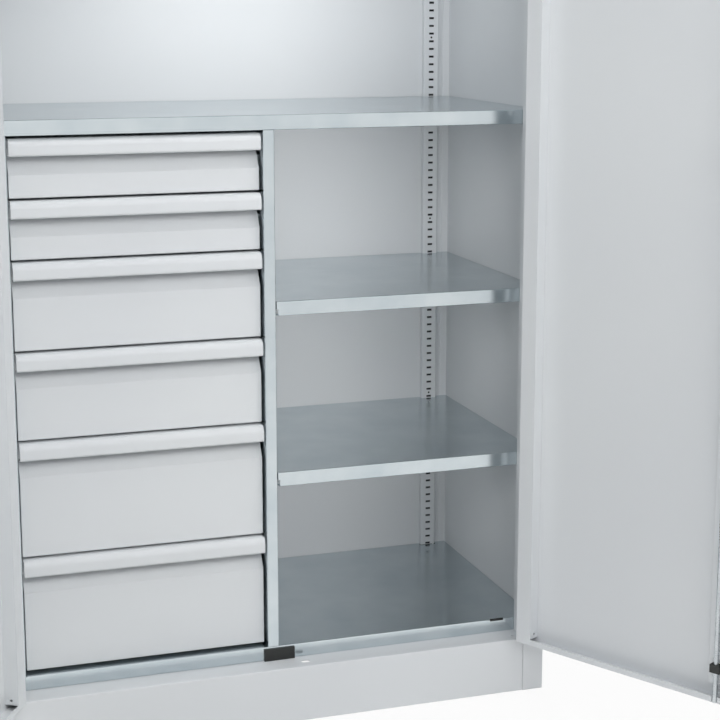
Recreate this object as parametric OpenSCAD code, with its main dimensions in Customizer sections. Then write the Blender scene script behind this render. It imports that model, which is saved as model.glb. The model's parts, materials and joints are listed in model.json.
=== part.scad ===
// Heavy-duty storage cabinet, welded steel body with two inset doors.
// Left half below the middle shelf: six full-extension drawers.
// Right half: two adjustable shelves. Above: two full-width shelves.
// X runs across the front, Y runs from front to back, Z up.
// The origin is on the floor, at the centre of the four floor anchors.

/* [Body] */
// Overall width
body_w = 1000; // [950:10:1200]
// Overall depth, without doors and handle
body_d = 500; // [460:10:600]
// Overall height
body_h = 1950; // [1900:10:2100]
// Thickness of the painted sheet
sheet_t = 1.5; // [1.2:0.1:1.8]
// Outer radius of the bends in every sheet
bend_r = 2; // [1.8:0.1:2.4]
// Width of the front flange of each side panel
flange_w = 40; // [36:1:50]
// Width of the folded return behind the jamb
jamb_return_w = 18; // [16:1:22]
// Width of the flange along the rear edge of each side panel
rear_flange_w = 13; // [10:1:16]
// Height of the plinth, up to the rail that the doors close over
plinth_h = 100; // [80:5:140]
// Height of the folded header above the doors
header_h = 40; // [30:1:60]
// Gap between the plinth or header and the jambs
seam_gap = 0.8; // [0.5:0.1:1.5]

/* [Shelves] */
// Distance of the shelf fronts behind the front plane of the body
shelf_setback = 45; // [44:1:60]
// Height of the folded edge of every shelf
shelf_h = 25; // [20:1:30]
// Thickness of the zinc-plated sheet
zinc_t = 1.25; // [1:0.05:1.5]
// Width of the return under the front edge of a shelf
shelf_lip = 15; // [10:1:18]
// Clearance between a shelf and what stands beside it
shelf_gap = 1; // [0.5:0.5:1.5]
// Thickness of the upright partition
partition_t = 20; // [16:1:30]
// Distance of the partition to the right of the centre
partition_shift = 2.5; // [-5:0.5:5]
// Hole steps from the floor to the top of the lower right shelf
lower_step = 21; // [15:1:30]
// Hole steps from the floor to the top of the upper right shelf
upper_step = 41; // [36:1:50]
// Hole steps from the middle shelf to the first full-width shelf above it
top_lower_step = 26; // [20:1:30]
// Hole steps from the second full-width shelf above it up to the header
top_upper_drop = 15; // [11:1:20]

/* [Uprights] */
// Pitch of the slots in the uprights
slot_pitch = 15; // [15:1:20]
// Width of a slot
slot_w = 10; // [8:0.5:11]
// Height of a slot
slot_h = 4; // [3:0.5:6]
// Height of a slot centre above the shelf top of the same step
slot_rise = 3; // [2.5:0.1:3.5]
// Width of the face of a rear upright
upright_w = 31; // [26:1:40]
// Distance from the inside of the side wall to the face of a rear upright
upright_x = 26; // [24:1:32]
// Depth of a rear upright, from its face to the back panel
upright_d = 11.5; // [10:0.5:16]
// Width of the foot along the outer side of a rear upright
upright_foot = 8; // [5:0.5:9]
// Diameter of the round hole that marks every twenty-fourth step
mark_d = 4; // [3:0.5:5]

/* [Drawers] */
// Height taken by each of the two small drawers
small_h = 100; // [95:5:120]
// Height taken by each of the two medium drawers
medium_h = 150; // [130:5:170]
// Height taken by each of the two large drawers
large_h = 200; // [180:5:220]
// Gap above the top drawer
drawer_top_gap = 5; // [3:1:10]
// Gap under each drawer front
drawer_gap = 4; // [2:0.5:5]
// Gap between a drawer front and the walls beside it
drawer_side_gap = 3.4; // [2:0.2:5]
// Distance of the left drawer wall from the line of the jamb
drawer_wall_inset = 12.6; // [8:0.2:18]
// Thickness of the drawer sheet
drawer_t = 1.2; // [1:0.1:1.5]
// Height of the rolled handle lip
lip_h = 28; // [22:1:34]
// Depth of the rolled handle lip
lip_d = 14; // [12:1:16]
// Outer radius along the top of the handle lip
lip_r = 12; // [6:1:12]
// Outer radius along the lower edge of the handle lip
lip_edge_r = 4; // [3:0.5:5]
// Depth from the handle front to the back of the finger recess
recess_d = 33; // [28:1:40]
// Depth from the handle front to the flat face
face_d = 15; // [12:1:20]
// Depth of the slanted part, measured downwards from the top
slant_end = 59; // [50:1:66]
// Height of the back wall of the recess
recess_h = 30; // [28:1:34]
// Distance of the tray rim below the top of the front
rim_drop = 12; // [8:1:20]
// Distance of the tray bottom above the bottom of the front
tray_rise = 9; // [6:1:14]
// Depth of the tray
tray_d = 400; // [340:10:410]

/* [Runners] */
// Overall width of a telescopic runner
rail_w = 12.7; // [12:0.1:14]
// Overall height of a telescopic runner
rail_h = 45; // [36:1:50]
// Thickness of the runner steel
rail_t = 1.2; // [1:0.1:1.5]
// Play between the members of a runner
rail_play = 0.3; // [0.2:0.05:0.5]
// Length of each runner member
rail_l = 400; // [340:10:400]

/* [Doors] */
// Depth of the folded door pan
door_t = 25; // [22:1:28]
// Gap above and below each door
door_gap = 5; // [3:0.5:6]
// Gap between a door and the jamb beside it
hinge_gap = 2.5; // [2:0.1:4]
// Gap between the two doors
meet_gap = 3; // [2:0.5:5]
// Width of the return along the hinge side of a door
hinge_return = 31; // [24:1:40]
// Width of the return along the free side of a door
free_return = 20; // [15:1:24]
// Height of the lips along the top and bottom of a door
door_lip = 11; // [8:1:16]
// Angle at which the doors stand open
door_open = 120; // [90:5:120]
// Diameter of the vent hole low in the hinge-side box of a door
vent_d = 4.5; // [3:0.5:6]

/* [Hinges] */
// Height of a hinge
hinge_h = 72; // [60:3:99]
// Outer diameter of a hinge knuckle
knuckle_d = 8; // [7:0.2:8]
// Diameter of a hinge pin
pin_d = 5; // [4:0.1:5.4]
// Radial clearance of a hinge pin
pin_play = 0.05; // [0.02:0.01:0.08]
// Thickness of a hinge leaf
leaf_t = 2; // [1.5:0.1:2.5]
// Width of a hinge leaf, from the pin axis
leaf_w = 26; // [20:1:32]
// Distance of the outer hinges from the ends of a door
hinge_inset = 180; // [120:10:300]

/* [Lock] */
// Height of the door handle above the floor
handle_z = 1020; // [900:10:1100]
// Distance of the lock rods from the centre of the cabinet
rod_x = 54; // [54:1:60]
// Diameter of a lock rod
rod_d = 8; // [6:1:9]
// Travel of a lock rod
rod_travel = 20; // [16:1:22]
// Depth of the rod axis behind the face of the door
rod_depth = 22.5; // [22:0.1:23]
// Length of the handle lever
lever_l = 118; // [90:2:130]

/* [Hidden] */
$fn = 64;
paint = "#cdd1d4";
zinc = "#b4bfc4";
bright = "#c9ced2";
black = "#2b2d2c";
// Overrun of a cutting body past the surface it cuts
cut = 1;

// Planes of the body
front_y = -body_d / 2;
back_y = body_d / 2;
back_face_y = back_y - sheet_t;
side_x = body_w / 2;
inner_x = side_x - sheet_t;
jamb_x = side_x - flange_w;
shelf_y = front_y + shelf_setback;
jamb_y = shelf_y - 0.5;
floor_z = plinth_h + shelf_h;
header_z = body_h - header_h;
header_return = 18;
plinth_return = 20;
plinth_rail_l = 30;
plinth_rail_back = shelf_y + plinth_rail_l;

// Shelves, on the slot grid that starts at the floor shelf
drawer_hs = [small_h, small_h, medium_h, medium_h, large_h, large_h];
stack_h = 2 * (small_h + medium_h + large_h);
mid_z = floor_z + stack_h + drawer_top_gap + shelf_h;
lower_z = floor_z + lower_step * slot_pitch;
upper_z = floor_z + upper_step * slot_pitch;
top_lower_z = mid_z + top_lower_step * slot_pitch;
header_steps = floor((header_z - floor_z) / slot_pitch);
top_upper_z = floor_z + (header_steps - top_upper_drop) * slot_pitch;
shelf_back_y = back_face_y - sheet_t - 0.5;
part_x0 = partition_shift - partition_t / 2;
part_x1 = partition_shift + partition_t / 2;
wide_x = inner_x - shelf_gap;

// Rear uprights
upright_x1 = inner_x - upright_x;
upright_x0 = upright_x1 - upright_w;
upright_y = back_face_y - upright_d;
upright_slot_x = (upright_x0 + upright_x1) / 2;
jamb_slot_x = jamb_x + jamb_return_w / 2;
notch_play = 3;
slot_count = floor((header_z - 8 - floor_z - slot_rise) / slot_pitch);
mark_first = 21;
mark_step = 24;

// Clips under the shelves
clip_t = 1.5;
clip_w = slot_w - 1;
clip_rim = 1.5;
clip_reach = 12;
clip_tab_h = slot_h - 1;
clip_tab_l = 4;
part_slot_inset = 30;
part_slot_y0 = shelf_y + part_slot_inset;
part_slot_y1 = upright_y - part_slot_inset;

// Drawers and their wall
wall_x1 = -(jamb_x - drawer_wall_inset - partition_t);
wall_x0 = wall_x1 - partition_t;
drawer_x0 = wall_x1 + drawer_side_gap;
drawer_x1 = part_x0 - drawer_side_gap;
tray_x0 = wall_x1 + rail_w;
tray_x1 = part_x0 - rail_w;
tray_y = shelf_y + recess_d + drawer_t;
rail_y = tray_y + drawer_t + 0.6;

// Slot in the front edge of the floor shelf
floor_slot_x = 46.5;
floor_slot_l = 26;
floor_slot_d = 3.5;

// Drain slot in the rail of the plinth
drain_x = 14;
drain_y = 18;
drain_l = 3;
drain_w = 4;

// Door buffer
buffer_x = -15;
buffer_w = 55;
buffer_h = 21;
buffer_d = 4;
buffer_bevel = 1;

// Doors
door_z = plinth_h + door_gap;
door_h = header_z - door_gap - door_z;
door_x1 = jamb_x - hinge_gap;
door_x0 = meet_gap / 2;
pin_x = jamb_x;
pin_y = front_y - knuckle_d / 2 - 0.3;
knuckle_gap = 0.5;
hinge_zs = [
    door_z + hinge_inset,
    door_z + door_h / 2,
    door_z + door_h - hinge_inset
];
leaf_gap = 0.6;
pin_head_t = 1.5;
vent_z = 18.6;
strip_end = 40;
strip_w = 12;
strip_gap = 0.7;

// Channel behind the free edge of a door, and the lock on it
channel_w = 34;
channel_t = 1.5;
guide_wall = 2;
channel_d = rod_depth - rod_d / 2 - guide_wall;
channel_end = 30;
channel_foot = 8;
plate_w = 30;
plate_h = 60;
plate_t = 2;
cam_r = 20;
cam_t = 3;
cam_y = front_y + channel_d + 3.2;
cam_pin_r = rod_travel / 2 / sin(45);
cam_pin_d = 6;
rod_plate_t = 3;
rod_plate_y = cam_y + cam_t + 0.4;
spindle_d = 10;
spindle_play = 0.05;
lock_w = 50;
lock_h = 96;
lock_t = 8;
lock_low = 35;
hub_gap = 0.3;
hub_d = 28;
hub_l = 16;
lever_out = 16;
lever_t = 12;
cylinder_d = 16;
cylinder_l = 20;
cylinder_rise = 46;
cylinder_play = 0.05;
rod_play = 0.05;
guide_w = 18;
guide_h = 14;
guide_end = 60;
guide_handle = 150;
wall_hole_drop = 60;

// Floor anchors in the foot plates
foot_w = 64;
foot_l = 60;
foot_t = 3;
anchor_d = 12;
anchor_x = inner_x - foot_w / 2;
anchor_y = 174;

// Wall fixings in the back panel
wall_hole_d = 9;
wall_hole_x = 350;
wall_hole_z = header_z - wall_hole_drop;

// Top of a drawer front
function drawer_top(i) = floor_z + stack_h - sum_before(i);
function sum_before(i) = i == 0 ? 0 : drawer_hs[i - 1] + sum_before(i - 1);
function front_h(i) = drawer_hs[i] - drawer_gap;
function rail_z(i) = drawer_top(i) - front_h(i) + tray_rise + rail_h / 2 + 3;
// Height of a slot centre
function slot_z(k) = floor_z + slot_rise + k * slot_pitch;
// Height of the first slot whose tab lies under a shelf underside at height z
function tab_slot_z(z) =
    slot_z(floor((z - clip_tab_h / 2 - floor_z - slot_rise) / slot_pitch));

// A block between two corners
module block(a, b) {
    translate(a) cube(b - a);
}

// What a bend takes off the sharp corner c of a section; s points from c into the sheet
module bend(c, s, r = bend_r) {
    difference() {
        translate(c + s * (r - cut) / 2) square(r + cut, center = true);
        translate(c + s * r) circle(r = r);
    }
}

// Bends along z, between two heights
module upright_bends(z0, z1) {
    translate([0, 0, z0 - cut]) linear_extrude(z1 - z0 + 2 * cut) children();
}

// Bends along x, in a section with y to the right and z up
module level_bends(x0, x1) {
    translate([x0 - cut, 0, 0]) rotate([90, 0, 90]) linear_extrude(x1 - x0 + 2 * cut) children();
}

// Folded profile of the right side panel, seen from above
module side_profile() {
    difference() {
        side_outline();
        bend([jamb_x, front_y], [1, 1]);
        bend([side_x, front_y], [-1, 1]);
        bend([jamb_x, jamb_y], [1, -1]);
    }
}

module side_outline() {
    polygon([
        [jamb_x, front_y],
        [side_x, front_y],
        [side_x, back_y],
        [inner_x, back_y],
        [inner_x, back_face_y],
        [inner_x - rear_flange_w, back_face_y],
        [inner_x - rear_flange_w, back_face_y - sheet_t],
        [inner_x, back_face_y - sheet_t],
        [inner_x, front_y + sheet_t],
        [jamb_x + sheet_t, front_y + sheet_t],
        [jamb_x + sheet_t, jamb_y - sheet_t],
        [jamb_x + jamb_return_w, jamb_y - sheet_t],
        [jamb_x + jamb_return_w, jamb_y],
        [jamb_x, jamb_y]
    ]);
}

module side_panel() {
    color(paint) difference() {
        linear_extrude(body_h - sheet_t) side_profile();
        for (k = [0 : slot_count])
            translate([jamb_slot_x - slot_w / 2, jamb_y - sheet_t - cut, slot_z(k) - slot_h / 2])
                cube([slot_w, sheet_t + 2 * cut, slot_h]);
    }
}

module side_panel_left() {
    mirror([1, 0, 0]) side_panel();
}

module side_panel_right() {
    side_panel();
}

module back_panel() {
    color(paint) difference() {
        block([-inner_x, back_face_y, 0], [inner_x, back_y, body_h - sheet_t]);
        for (s = [-1, 1])
            translate([s * wall_hole_x, back_face_y - cut, wall_hole_z])
                rotate([-90, 0, 0]) cylinder(d = wall_hole_d, h = sheet_t + 2 * cut);
    }
}

// Top sheet with the header folded down and back over the doors
module top_panel() {
    hx = jamb_x - seam_gap;
    color(paint) difference() {
        union() {
            block([-side_x, front_y, body_h - sheet_t], [side_x, back_y, body_h]);
            block([-hx, front_y, header_z], [hx, front_y + sheet_t, body_h - sheet_t]);
            block([-hx, front_y, header_z], [hx, jamb_y, header_z + sheet_t]);
            block([-hx, jamb_y - sheet_t, header_z], [hx, jamb_y, header_z + header_return]);
        }
        level_bends(-side_x, side_x) {
            bend([front_y, body_h], [1, -1], sheet_t);
            bend([front_y, header_z], [1, 1]);
            bend([jamb_y, header_z], [-1, 1]);
        }
        upright_bends(body_h - sheet_t, body_h) {
            bend([-side_x, front_y], [1, 1]);
            bend([side_x, front_y], [-1, 1]);
        }
        translate([rod_x, front_y + rod_depth, header_z - cut])
            rod_slot(sheet_t + 2 * cut);
    }
}

// Oblong hole for the end of a lock rod
module rod_slot(h) {
    slot_r = rod_d / 2 + 1.5;
    linear_extrude(h) union() {
        for (s = [-1, 1]) translate([s * 2.5, 0]) circle(r = slot_r);
        square([5, 2 * slot_r], center = true);
    }
}

// Plinth front with its rail on top and a return along the floor
module plinth() {
    px = jamb_x - seam_gap;
    color(paint) difference() {
        union() {
            block([-px, front_y, 0], [px, front_y + sheet_t, plinth_h]);
            block([-px, front_y, plinth_h - sheet_t], [px, plinth_rail_back, plinth_h]);
            block([-px, plinth_rail_back - sheet_t, plinth_h - plinth_return],
                  [px, plinth_rail_back, plinth_h]);
            block([-px, front_y, 0], [px, front_y + plinth_return, sheet_t]);
        }
        level_bends(-px, px) {
            bend([front_y, plinth_h], [1, -1]);
            bend([plinth_rail_back, plinth_h], [-1, -1]);
            bend([front_y, 0], [1, 1]);
        }
        translate([rod_x, front_y + rod_depth, plinth_h - sheet_t - cut])
            rod_slot(sheet_t + 2 * cut);
        translate([jamb_x - drain_x, front_y + drain_y, plinth_h - sheet_t - cut])
            linear_extrude(sheet_t + 2 * cut) union() {
                for (s = [-1, 1]) translate([s * drain_l / 2, 0]) circle(d = drain_w);
                square([drain_l, drain_w], center = true);
            }
    }
}

// Angles along the side walls and the back, which carry the floor shelf
module base_rails() {
    leg = 25;
    color(paint) {
        for (s = [0, 1]) mirror([s, 0, 0]) {
            block([inner_x - sheet_t, shelf_y + 2, plinth_h - leg],
                  [inner_x, back_face_y - sheet_t - 1, plinth_h]);
            block([inner_x - leg, shelf_y + 2, plinth_h - sheet_t],
                  [inner_x - sheet_t, back_face_y - sheet_t - 1, plinth_h]);
        }
        block([-upright_x0 + 2, back_face_y - sheet_t, plinth_h - leg],
              [upright_x0 - 2, back_face_y, plinth_h]);
        block([-upright_x0 + 2, back_face_y - leg, plinth_h - sheet_t],
              [upright_x0 - 2, back_face_y - sheet_t, plinth_h]);
    }
}

module foot_plates() {
    color(paint) for (sx = [-1, 1], sy = [-1, 1]) difference() {
        translate([sx * anchor_x - foot_w / 2, sy * anchor_y - foot_l / 2, 0])
            cube([foot_w, foot_l, foot_t]);
        translate([sx * anchor_x, sy * anchor_y, -cut])
            cylinder(d = anchor_d, h = foot_t + 2 * cut);
    }
}

// Folded shelf between two x positions, cut out round the rear uprights
module shelf(x0, x1, top_z, left_notch) {
    ny = upright_y - notch_play;
    nx0 = upright_x0 - shelf_gap;
    nx1 = upright_x1 + shelf_gap;
    z0 = top_z - shelf_h;
    sides = left_notch ? [0, 1] : [0];
    color(zinc) difference() {
        union() {
            difference() {
                block([x0, shelf_y, z0], [x1, shelf_back_y, top_z]);
                difference() {
                    block([x0 + zinc_t, shelf_y + zinc_t, z0 - cut],
                          [x1 - zinc_t, shelf_back_y - zinc_t, top_z - zinc_t]);
                    for (s = sides) mirror([s, 0, 0])
                        block([nx0 - zinc_t, ny - zinc_t, z0 - cut],
                              [nx1 + zinc_t, shelf_back_y, top_z]);
                }
            }
            block([x0 + zinc_t, shelf_y + zinc_t, z0],
                  [x1 - zinc_t, shelf_y + shelf_lip, z0 + zinc_t]);
        }
        for (s = sides) mirror([s, 0, 0])
            block([nx0, ny, z0 - cut], [nx1, shelf_back_y + cut, top_z + cut]);
        level_bends(x0, x1) {
            bend([shelf_y, top_z], [1, -1]);
            bend([shelf_y, z0], [1, 1]);
        }
    }
}

// Floor shelf, with the punched slot near the right end of its front edge
module floor_shelf() {
    slot_x0 = jamb_x - floor_slot_x;
    difference() {
        shelf(-wide_x, wide_x, floor_z, true);
        color(zinc) block([slot_x0, shelf_y - cut, floor_z - floor_slot_d],
                          [slot_x0 + floor_slot_l, shelf_y + floor_slot_d, floor_z + cut]);
    }
}

module mid_shelf() {
    shelf(-wide_x, wide_x, mid_z, true);
}

module shelf_top_lower() {
    shelf(-wide_x, wide_x, top_lower_z, true);
}

module shelf_top_upper() {
    shelf(-wide_x, wide_x, top_upper_z, true);
}

// Shelf of the right compartment, relieved at its lower left front corner
module right_shelf(top_z) {
    x0 = part_x1 + shelf_gap;
    difference() {
        shelf(x0, wide_x, top_z, false);
        color(zinc) block([x0 - cut, shelf_y - cut, top_z - shelf_h - cut],
                          [x0 + 3.2, shelf_y + 8, top_z - shelf_h + 12]);
    }
}

module shelf_right_lower() {
    right_shelf(lower_z);
}

module shelf_right_upper() {
    right_shelf(upper_z);
}

// Hollow folded wall between the floor shelf and the middle shelf, open at the back
module folded_wall(x0, x1, y1) {
    difference() {
        block([x0, shelf_y, floor_z], [x1, y1, mid_z - shelf_h]);
        block([x0 + zinc_t, shelf_y + zinc_t, floor_z - cut],
              [x1 - zinc_t, y1 + cut, mid_z - shelf_h + cut]);
        upright_bends(floor_z, mid_z - shelf_h) {
            bend([x0, shelf_y], [1, 1]);
            bend([x1, shelf_y], [-1, 1]);
        }
    }
}

module partition() {
    last = floor((mid_z - shelf_h - 10 - floor_z - slot_rise) / slot_pitch);
    color(zinc) difference() {
        folded_wall(part_x0, part_x1, shelf_back_y);
        for (k = [0 : last], y = [part_slot_y0, part_slot_y1])
            translate([part_x1 - zinc_t - cut, y - slot_w / 2, slot_z(k) - slot_h / 2])
                cube([zinc_t + 2 * cut, slot_w, slot_h]);
    }
}

module drawer_wall() {
    color(zinc) folded_wall(wall_x0, wall_x1, upright_y - shelf_gap);
}

// Folded upright with a row of slots and a round mark every twenty-fourth step
module upright() {
    difference() {
        translate([0, 0, floor_z]) linear_extrude(header_z - floor_z)
            polygon([
                [upright_x0, back_face_y],
                [upright_x0, upright_y],
                [upright_x1, upright_y],
                [upright_x1, back_face_y - sheet_t],
                [upright_x1 + upright_foot, back_face_y - sheet_t],
                [upright_x1 + upright_foot, back_face_y],
                [upright_x1 - sheet_t, back_face_y],
                [upright_x1 - sheet_t, upright_y + sheet_t],
                [upright_x0 + sheet_t, upright_y + sheet_t],
                [upright_x0 + sheet_t, back_face_y]
            ]);
        for (k = [0 : slot_count])
            translate([upright_slot_x - slot_w / 2, upright_y - cut, slot_z(k) - slot_h / 2])
                cube([slot_w, sheet_t + 2 * cut, slot_h]);
        upright_bends(floor_z, header_z) {
            bend([upright_x0, upright_y], [1, 1]);
            bend([upright_x1, upright_y], [-1, 1]);
        }
        for (k = [mark_first : mark_step : slot_count])
            translate([upright_slot_x, upright_y - cut, slot_z(k) + slot_pitch / 2])
                rotate([-90, 0, 0]) cylinder(d = mark_d, h = sheet_t + 2 * cut);
    }
}

module rear_uprights() {
    color(paint) for (s = [0, 1]) mirror([s, 0, 0]) upright();
}

// Bent clip in its own frame, origin at the shelf underside: plate on the wall at y 0,
// tongue towards -y, and two tabs towards +y, the upper one at tab_z
module clip(wall_t, tab_z) {
    low_z = tab_z - slot_pitch - clip_tab_h / 2 - clip_rim;
    block([-clip_w / 2, -clip_t, low_z], [clip_w / 2, 0, 0]);
    block([-clip_w / 2, -clip_reach, -clip_t], [clip_w / 2, 0, 0]);
    for (z = [tab_z, tab_z - slot_pitch])
        block([-clip_w / 2, -clip_t, z - clip_tab_h / 2],
              [clip_w / 2, wall_t + clip_tab_l, z + clip_tab_h / 2]);
}

// Clips under one shelf: two at the right wall, and two at the left wall or the partition
module clip_set(top_z, left_wall) {
    z = top_z - shelf_h;
    tab_z = tab_slot_z(z) - z;
    for (s = left_wall ? [0, 1] : [0]) mirror([s, 0, 0]) {
        translate([upright_slot_x, upright_y, z]) clip(sheet_t, tab_z);
        translate([jamb_slot_x, jamb_y, z]) mirror([0, 1, 0]) clip(sheet_t, tab_z);
    }
    if (!left_wall)
        for (y = [part_slot_y0, part_slot_y1])
            translate([part_x1, y, z]) rotate([0, 0, 90]) clip(zinc_t, tab_z);
}

module shelf_clips() {
    color(bright) {
        for (z = [mid_z, top_lower_z, top_upper_z]) clip_set(z, true);
        for (z = [lower_z, upper_z]) clip_set(z, false);
    }
}

// One member of a runner: a web at u0 to u0 + rail_t, and flanges to u1 on both edges
module rail_profile(u0, u1, web_u, h) {
    translate([web_u, -h / 2]) square([rail_t, h]);
    for (s = [0, 1]) mirror([0, s])
        translate([u0, h / 2 - rail_t]) square([u1 - u0, rail_t]);
}

// Runner members in their own section: u away from the wall, v up
module fixed_rail_profile() {
    rail_profile(0, rail_w - 3.7, 0, rail_h);
}

module middle_rail_profile() {
    h = rail_h - 2 * rail_t - 2 * rail_play;
    rail_profile(rail_t + 1, rail_w - 2.2, rail_t + 1, h);
}

module inner_rail_profile() {
    h = rail_h - 4 * rail_t - 4 * rail_play;
    rail_profile(2 * rail_t + 2.3, rail_w, rail_w - rail_t, h);
}

// A section carried along both sides of drawer i, from the walls inwards
module rail_pair(i) {
    for (side = [0, 1])
        translate([side == 0 ? wall_x1 : part_x0, rail_y, rail_z(i)])
            mirror([side, 0, 0]) mirror([0, 1, 0]) rotate([90, 0, 0])
                linear_extrude(rail_l) children();
}

module runner_fixed_rails() {
    color(bright) for (i = [0 : 5]) rail_pair(i) fixed_rail_profile();
}

module runner_middle(i) {
    color(bright) rail_pair(i) middle_rail_profile();
}

module drawer_rails(i) {
    color(bright) rail_pair(i) inner_rail_profile();
}

// Rolled handle lip in section: y backwards, z down from the top of the front
module lip_section(inset) {
    translate([lip_r, -lip_r]) circle(r = lip_r - inset);
    translate([lip_edge_r, lip_edge_r - lip_h]) circle(r = lip_edge_r - inset);
    translate([inset, lip_edge_r - lip_h]) square([recess_d - inset, lip_h - lip_edge_r - lip_r]);
    translate([lip_r, -lip_r]) square([recess_d - lip_r, lip_r - inset]);
    translate([lip_edge_r, inset - lip_h]) square([recess_d - lip_edge_r, lip_r]);
}

// Front sheet in section: handle lip, finger recess, slanted part and flat face
module front_section(h) {
    difference() {
        lip_section(0);
        lip_section(drawer_t);
        translate([lip_d, -lip_h - cut]) square([recess_d, lip_h + cut - drawer_t]);
    }
    difference() {
        face_section(h);
        bend([face_d, -h], [1, 1]);
    }
}

// Recess wall, slanted part, flat face and the fold under it
module face_section(h) {
    polygon([
        [recess_d, 0],
        [recess_d, -recess_h],
        [face_d, -slant_end],
        [face_d, -h],
        [recess_d, -h],
        [recess_d, drawer_t - h],
        [face_d + drawer_t, drawer_t - h],
        [face_d + drawer_t, -slant_end],
        [recess_d + drawer_t, -recess_h],
        [recess_d + drawer_t, 0]
    ]);
}

// Side fold of a front, from the slanted part down
module front_cheek(h) {
    difference() {
        polygon([
            [recess_d, -recess_h],
            [face_d, -slant_end],
            [face_d, -h],
            [recess_d, -h]
        ]);
        bend([face_d, -h], [1, 1]);
    }
}

module drawer_front(i) {
    h = front_h(i);
    w = drawer_x1 - drawer_x0;
    color(paint) translate([drawer_x0, shelf_y, drawer_top(i)]) {
        rotate([90, 0, 90]) linear_extrude(w) front_section(h);
        for (x = [0, w - drawer_t])
            translate([x, 0, 0]) rotate([90, 0, 90]) linear_extrude(drawer_t) front_cheek(h);
    }
}

module drawer_tray(i) {
    z0 = drawer_top(i) - front_h(i) + tray_rise;
    z1 = drawer_top(i) - rim_drop;
    color(paint) difference() {
        block([tray_x0, tray_y, z0], [tray_x1, tray_y + tray_d, z1]);
        block([tray_x0 + drawer_t, tray_y + drawer_t, z0 + drawer_t],
              [tray_x1 - drawer_t, tray_y + tray_d - drawer_t, z1 + cut]);
        upright_bends(z0, z1) {
            bend([tray_x0, tray_y + tray_d], [1, -1]);
            bend([tray_x1, tray_y + tray_d], [-1, -1]);
        }
    }
}

// Black buffer in front of the floor shelf, its edges bevelled
module door_buffer() {
    x = buffer_x;
    y = shelf_y - buffer_d;
    z = plinth_h + 0.3;
    color(black) difference() {
        block([x, y, z], [x + buffer_w, shelf_y, z + buffer_h]);
        translate([x + buffer_w / 2, y, z + buffer_h])
            rotate([45, 0, 0]) cube([buffer_w + 2, buffer_bevel, buffer_bevel], center = true);
        for (end = [x, x + buffer_w]) translate([end, y, z + buffer_h / 2])
            rotate([0, 0, 45]) cube([buffer_bevel, buffer_bevel, buffer_h + 2], center = true);
    }
}

// Moves a closed right door part to the standing-open position
module opened() {
    translate([pin_x, pin_y, 0]) rotate([0, 0, door_open])
        translate([-pin_x, -pin_y, 0]) children();
}

// Folded door pan, closed position, right door. A wall under the hinge-side return makes
// a box of it, open at its ends over the height of the lips.
module door_pan() {
    wall_x = door_x1 - hinge_return;
    difference() {
        union() {
            difference() {
                block([door_x0, front_y, door_z], [door_x1, front_y + door_t, door_z + door_h]);
                block([door_x0 + sheet_t, front_y + sheet_t, door_z + sheet_t],
                      [door_x1 - sheet_t, front_y + door_t - sheet_t, door_z + door_h - sheet_t]);
                block([door_x0 + free_return, front_y + door_t - sheet_t - cut, door_z + door_lip],
                      [wall_x, front_y + door_t + cut, door_z + door_h - door_lip]);
            }
            block([wall_x, front_y, door_z + door_lip],
                  [wall_x + sheet_t, front_y + door_t, door_z + door_h - door_lip]);
        }
        translate([wall_x - cut, front_y + door_t / 2, door_z + vent_z])
            rotate([0, 90, 0]) cylinder(d = vent_d, h = sheet_t + 2 * cut);
        upright_bends(door_z, door_z + door_h) {
            bend([door_x0, front_y], [1, 1]);
            bend([door_x0, front_y + door_t], [1, -1]);
            bend([door_x1, front_y], [-1, 1]);
            bend([door_x1, front_y + door_t], [-1, -1]);
        }
        level_bends(door_x0, door_x1) {
            bend([front_y, door_z], [1, 1]);
            bend([front_y + door_t, door_z], [-1, 1]);
            bend([front_y, door_z + door_h], [1, -1]);
            bend([front_y + door_t, door_z + door_h], [-1, -1]);
        }
    }
}

module right_door_panel() {
    color(paint) opened() difference() {
        door_pan();
        translate([rod_x, front_y - cut, handle_z])
            rotate([-90, 0, 0]) cylinder(d = spindle_d + 6, h = sheet_t + 2 * cut);
        translate([rod_x, front_y - cut, handle_z + cylinder_rise])
            rotate([-90, 0, 0]) cylinder(d = cylinder_d + 2, h = sheet_t + 2 * cut);
        for (z = [door_z - cut, door_z + door_h - sheet_t - cut])
            translate([rod_x, front_y + rod_depth, z]) cylinder(d = rod_d + 2, h = sheet_t + 2 * cut);
        for (z = [door_z - cut, door_z + door_h - door_lip - cut])
            block([rod_x - rod_d / 2 - 1, front_y + rod_depth, z],
                  [rod_x + rod_d / 2 + 1, front_y + door_t + cut, z + door_lip + 2 * cut]);
    }
}

module left_door_panel() {
    color(paint) mirror([1, 0, 0]) opened() door_pan();
}

// Channel that stiffens the free edge of a door, closed position
module door_channel() {
    x0 = rod_x - channel_w / 2;
    z0 = door_z + channel_end;
    h = door_h - 2 * channel_end;
    translate([0, 0, z0]) linear_extrude(h) polygon([
        [x0 - channel_foot, front_y + sheet_t],
        [x0 + channel_t, front_y + sheet_t],
        [x0 + channel_t, front_y + channel_d - channel_t],
        [x0 + channel_w - channel_t, front_y + channel_d - channel_t],
        [x0 + channel_w - channel_t, front_y + sheet_t],
        [x0 + channel_w + channel_foot, front_y + sheet_t],
        [x0 + channel_w + channel_foot, front_y + sheet_t + channel_t],
        [x0 + channel_w, front_y + sheet_t + channel_t],
        [x0 + channel_w, front_y + channel_d],
        [x0, front_y + channel_d],
        [x0, front_y + sheet_t + channel_t],
        [x0 - channel_foot, front_y + sheet_t + channel_t]
    ]);
}

module right_door_channel() {
    color(paint) opened() difference() {
        door_channel();
        for (z = [handle_z, handle_z + cylinder_rise])
            translate([rod_x, front_y, z])
                rotate([-90, 0, 0]) cylinder(d = cylinder_d + 6, h = channel_d + cut);
    }
}

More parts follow.
